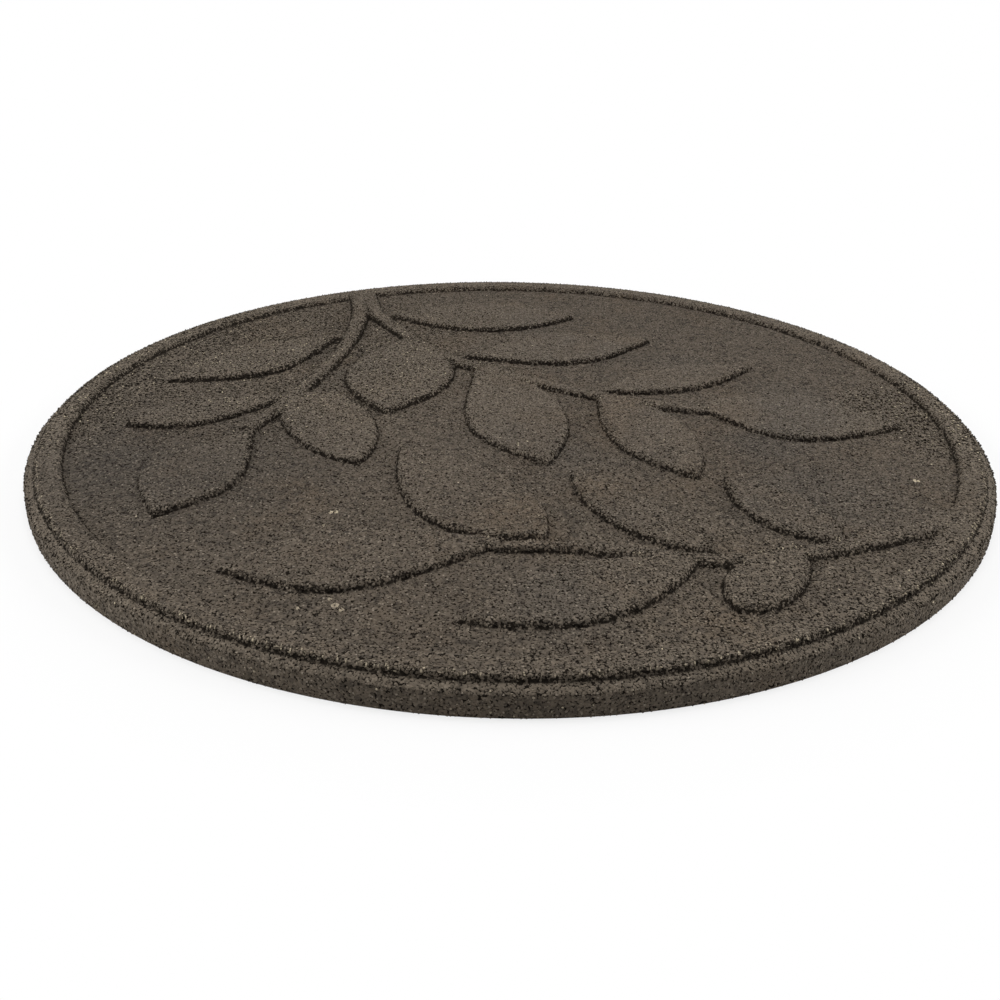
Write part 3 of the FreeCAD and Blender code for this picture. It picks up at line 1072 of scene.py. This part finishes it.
colour = linear(RUBBER)
for share, shade in coats:
    colour = add(tree, "Mix", {0: share, 6: colour, 7: linear(shade)}, data_type="RGBA").outputs[2]

slope = add(tree, "VectorMath", {0: granule.outputs["Color"], 1: (0.5, 0.5, 0.5)}, operation="SUBTRACT")
offset = add(tree, "VectorMath", {0: spot, 1: granule.outputs["Position"]}, operation="SUBTRACT")
shape = add(tree, "VectorMath", {0: slope, 1: offset}, operation="DOT_PRODUCT").outputs["Value"]
shape = add(tree, "Math", {0: shape, 1: TILT / MM}, operation="MULTIPLY")
worn = add(tree, "MapRange", {"Value": inside, "From Min": 0.22, "From Max": 0.0, "To Max": 0.12})
shape = add(tree, "Math", {0: shape, 1: worn}, operation="SUBTRACT")
grit = add(tree, "TexNoise", {"Vector": place, "Scale": 1 / (0.4 * MM), "Detail": 1.0})
for source, amount in ((hollow, -0.20), (grit, 0.09)):
    shape = add(tree, "Math", {0: source, 1: amount, 2: shape}, operation="MULTIPLY_ADD")
bump = add(tree, "Bump", {"Strength": 1.0, "Distance": MM, "Height": shape})
shader = add(tree, "BsdfPrincipled", {"Base Color": colour, "Roughness": 0.9, "IOR": 1.5,
                                      "Specular IOR Level": sheen, "Normal": bump})
add(tree, "OutputMaterial", {"Surface": shader})

for piece in (rubber_skin, sprig_crumb, flat_crumb, rim_crumb, wall_crumb, bits):
    piece.data.materials.append(rubber)
    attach(piece, "root")
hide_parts(NODE)
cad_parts[NODE].data.materials.clear()
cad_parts[NODE].data.materials.append(rubber)
print("material", rubber.name, "nodes", len(rubber.node_tree.nodes))

# %% [markdown]
# The stone lies on a plain pale floor in an evenly white room. The floor keeps the stone's
# soft shadow close to it, and further away its colour goes over into the room's white, so
# no horizon shows. Only the camera, a mirror or glass would see that white. The light on
# the stone comes from the lamps, and the room adds very little.

# %% Floor
FLOOR_SIDES = 96
FLOOR_LEVEL = -0.02          # just under the stone, in millimetres
FADE_ENDS = (0.13, 0.265)    # metres from the stone's middle, between which the floor turns white


def seen_at_once(tree):
    """1 for rays from the camera, also by way of a mirror or through glass, and 0 for others."""
    rays = add(tree, "LightPath")
    seen = add(tree, "Math", {0: rays.outputs["Is Camera Ray"], 1: rays.outputs["Is Glossy Ray"]},
               operation="MAXIMUM")
    return add(tree, "Math", {0: seen, 1: rays.outputs["Is Transmission Ray"]}, operation="MAXIMUM")


def studio_floor():
    """A flat disc 12 m across: rings of points (r cos a, r sin a) round a middle point."""
    around = np.arange(FLOOR_SIDES) * 2 * math.pi / FLOOR_SIDES
    radii = (300.0, 900.0, 2500.0, 6000.0)
    points = [np.array([[0.0, 0.0, FLOOR_LEVEL]])]
    for r in radii:
        points.append(np.stack([r * np.cos(around), r * np.sin(around),
                                np.full(FLOOR_SIDES, FLOOR_LEVEL)], 1))
    first = 1 + np.arange(FLOOR_SIDES)
    faces = [np.stack([np.zeros(FLOOR_SIDES, int), first, np.roll(first, -1)], 1)]
    for k in range(len(radii) - 1):
        inner = first + k * FLOOR_SIDES
        faces.append(squares_between(inner, inner + FLOOR_SIDES))
    floor = new_mesh("studio_floor", np.vstack(points), faces)
    material = bpy.data.materials.new("pale_floor")
    material.use_nodes = True
    tree = material.node_tree
    tree.nodes.clear()
    paint = add(tree, "BsdfDiffuse", {"Color": linear("#F2F2F2")})
    white = add(tree, "Emission", {"Color": (1, 1, 1, 1), "Strength": 1.0})
    place = add(tree, "TexCoord").outputs["Object"]
    away = add(tree, "VectorMath", {0: place}, operation="LENGTH").outputs["Value"]
    fade = add(tree, "MapRange", {"Value": away, "From Min": FADE_ENDS[0], "From Max": FADE_ENDS[1]})
    share = add(tree, "Math", {0: seen_at_once(tree), 1: fade}, operation="MULTIPLY")
    both = add(tree, "MixShader", {0: share, 1: paint, 2: white})
    add(tree, "OutputMaterial", {"Surface": both})
    floor.data.materials.append(material)
    return floor


print("floor faces", len(studio_floor().data.polygons))

# %% [markdown]
# The lamps are large and soft: one straight above the stone, and one low on each side. None
# stands on the camera's side, so the sides of the relief that face it fall dark and the
# drawing reads.

# %% Room and lamps
ROOM_LIGHT = 0.09            # strength of the room as light on the stone
LAMPS = [  # name, place in metres, size in metres, power in watts
    ("lamp_over", (0.0, 0.0, 1.7), 1.2, 18.0),
    ("lamp_left", (-1.25, 0.05, 0.64), 0.8, 12.0),
    ("lamp_right", (1.25, 0.15, 0.64), 0.8, 11.5),
]

world = bpy.data.worlds.new("studio_room")
bpy.context.scene.world = world
world.use_nodes = True
room = world.node_tree
room.nodes.clear()
soft = add(room, "Background", {"Color": (1, 1, 1, 1), "Strength": ROOM_LIGHT})
shown = add(room, "Background", {"Color": (1, 1, 1, 1), "Strength": 1.0})
either = add(room, "MixShader", {0: seen_at_once(room), 1: soft, 2: shown})
add(room, "OutputWorld", {"Surface": either})


def lamp(name, place, size, power):
    """A square soft light that looks at the stone."""
    light = bpy.data.lights.new(name, "AREA")
    light.shape = "SQUARE"
    light.size = size
    light.energy = power
    thing = bpy.data.objects.new(name, light)
    bpy.context.scene.collection.objects.link(thing)
    thing.location = place
    thing.rotation_euler = (-Vector(place)).to_track_quat("-Z", "Y").to_euler()
    return thing


lamps = [lamp(*settings) for settings in LAMPS]
print("lamps", [thing.name for thing in lamps])

# %% [markdown]
# The camera stands where the photographer's did: low and close in front of the stone, with
# a fairly wide lens, which is why the near edge looks so much broader than the far one.

# %% Camera
CAMERA_DISTANCE = 502.8      # from the stone's centre, in millimetres
CAMERA_ELEVATION = 23.52     # above the ground, in degrees
AIM = (-3.5, -81.7, 0.0)     # the place on the ground in the middle of the picture
ROLL = 0.79                  # degrees
LENS = 35.65                 # millimetres, on a sensor 36 mm wide

camera_data = bpy.data.cameras.new("camera")
camera_data.lens = LENS
camera_data.sensor_width = 36.0
camera_data.clip_start = 0.01
camera = bpy.data.objects.new("camera", camera_data)
bpy.context.scene.collection.objects.link(camera)
up_angle = math.radians(CAMERA_ELEVATION)
eye = Vector((0.0, -math.cos(up_angle), math.sin(up_angle))) * CAMERA_DISTANCE * MM
look = (Vector(AIM) * MM - eye).normalized()
right = look.cross(Vector((0, 0, 1))).normalized()
upward = right.cross(look)
turn = math.radians(ROLL)
right, upward = (right * math.cos(turn) + upward * math.sin(turn),
                 upward * math.cos(turn) - right * math.sin(turn))
camera.matrix_world = Matrix.Translation(eye) @ Matrix((right, upward, -look)).transposed().to_4x4()
bpy.context.scene.camera = camera
bpy.context.scene.view_settings.view_transform = "Standard"
print("camera at", [round(c, 4) for c in eye])
